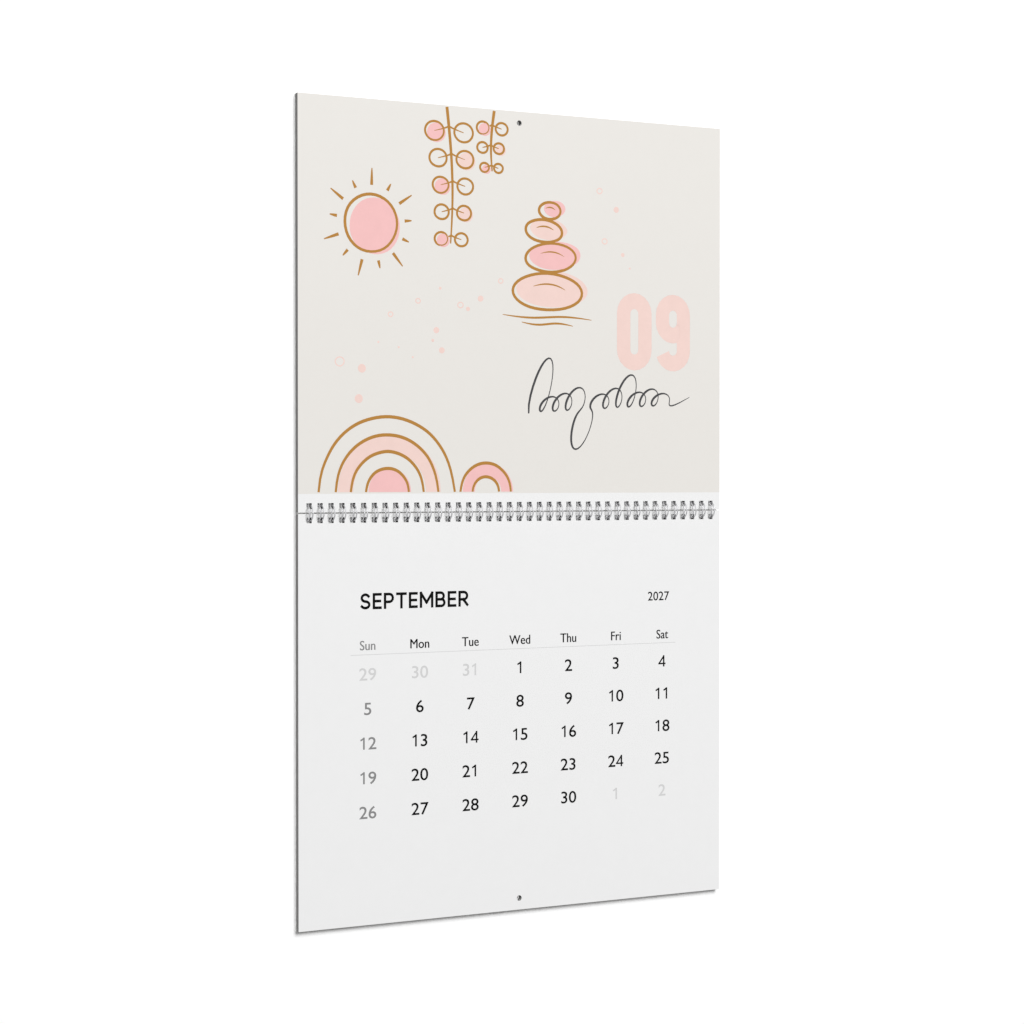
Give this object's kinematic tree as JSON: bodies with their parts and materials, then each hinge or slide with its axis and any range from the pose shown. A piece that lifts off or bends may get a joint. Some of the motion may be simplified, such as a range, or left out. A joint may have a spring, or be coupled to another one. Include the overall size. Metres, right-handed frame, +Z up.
{
  "type": "wall calendar",
  "caption": "Upright wall calendar bound with a twin-loop wire, hung open: picture side above, month grid below, with a hang hole near each free edge.",
  "frame": {"origin": "centre of the hang hole near the top edge, at the rear face of the front cover", "axes": "+X to the viewer's right along the sheets' width, +Y rearwards through the hang hole towards the wall, +Z up along the two open halves"},
  "size_m": [0.3556, 0.0128, 0.5852],
  "materials": {
    "cover_card": "coated card, satin",
    "picture_paper": "coated paper, printed full bleed",
    "leaf_paper": "uncoated heavy paper, smooth",
    "binding_wire": "silver coated wire, satin"
  },
  "bodies": {
    "hung_body": {"turned_leaves": "picture_paper", "front_cover": "cover_card", "coming_leaves": "leaf_paper", "wire_binding": "binding_wire"},
    "month_leaf": {"month_leaf": "leaf_paper"},
    "back_cover": {"back_cover": "cover_card"}
  },
  "joints": [
    {"name": "leaf_turn", "type": "hinge", "parent": "hung_body", "child": "month_leaf", "pos_m": [0, -0.00435, -0.2841], "axis": [-1, 0, 0], "range_deg": [0, 180]},
    {"name": "back_cover_turn", "type": "hinge", "parent": "hung_body", "child": "back_cover", "pos_m": [0, 0.00015, -0.2841], "axis": [1, 0, 0], "range_deg": [0, 65]}
  ]
}
